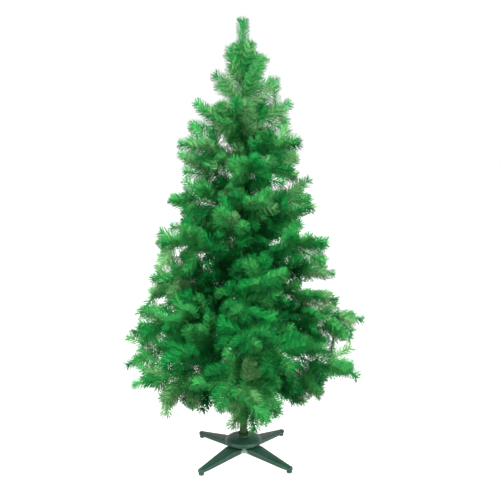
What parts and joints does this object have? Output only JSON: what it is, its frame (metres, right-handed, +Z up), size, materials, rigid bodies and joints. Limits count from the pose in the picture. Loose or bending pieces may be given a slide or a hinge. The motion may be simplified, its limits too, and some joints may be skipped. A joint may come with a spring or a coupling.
{
  "type": "artificial christmas tree",
  "caption": "Undecorated artificial conifer: tiers of wire branches with brushes of green needles on a slim pole, in a stand of four splayed legs under a shallow dome.",
  "frame": {"origin": "on the floor, under the pole at the middle of the stand", "axes": "+Z up along the pole, -Y towards the front, +X to the viewer's right"},
  "size_m": [0.9818, 0.9719, 1.792],
  "materials": {
    "needles": "matt green strips of film with a slight sheen",
    "pole": "dull olive green paint, mottled",
    "stand": "satin dark green moulded plastic"
  },
  "bodies": {
    "root": {"branch_1_1": "needles", "branch_1_2": "needles", "branch_1_3": "needles", "branch_1_4": "needles", "branch_2_1": "needles", "branch_2_2": "needles", "branch_2_3": "needles", "branch_2_4": "needles", "branch_2_5": "needles", "branch_3_1": "needles", "branch_3_2": "needles", "branch_3_3": "needles", "branch_3_4": "needles", "branch_3_5": "needles", "branch_4_1": "needles", "branch_4_2": "needles", "branch_4_3": "needles", "branch_4_4": "needles", "branch_4_5": "needles", "branch_5_1": "needles", "branch_5_2": "needles", "branch_5_3": "needles", "branch_5_4": "needles", "branch_5_5": "needles", "branch_6_1": "needles", "branch_6_2": "needles", "branch_6_3": "needles", "branch_6_4": "needles", "branch_7_1": "needles", "branch_7_2": "needles", "branch_7_3": "needles", "branch_7_4": "needles", "branch_8_1": "needles", "branch_8_2": "needles", "branch_8_3": "needles", "branch_8_4": "needles", "branch_9_1": "needles", "branch_9_2": "needles", "branch_9_3": "needles", "branch_9_4": "needles", "branch_10_1": "needles", "branch_10_2": "needles", "branch_10_3": "needles", "branch_10_4": "needles", "branch_11_1": "needles", "branch_11_2": "needles", "branch_11_3": "needles", "branch_12_1": "needles", "branch_12_2": "needles", "branch_12_3": "needles", "branch_13_1": "needles", "branch_13_2": "needles", "branch_13_3": "needles", "leader": "needles", "trunk_pole": "pole", "stand_hub": "stand", "stand_leg_1": "stand", "stand_leg_2": "stand", "stand_leg_3": "stand", "stand_leg_4": "stand"}
  },
  "joints": []
}
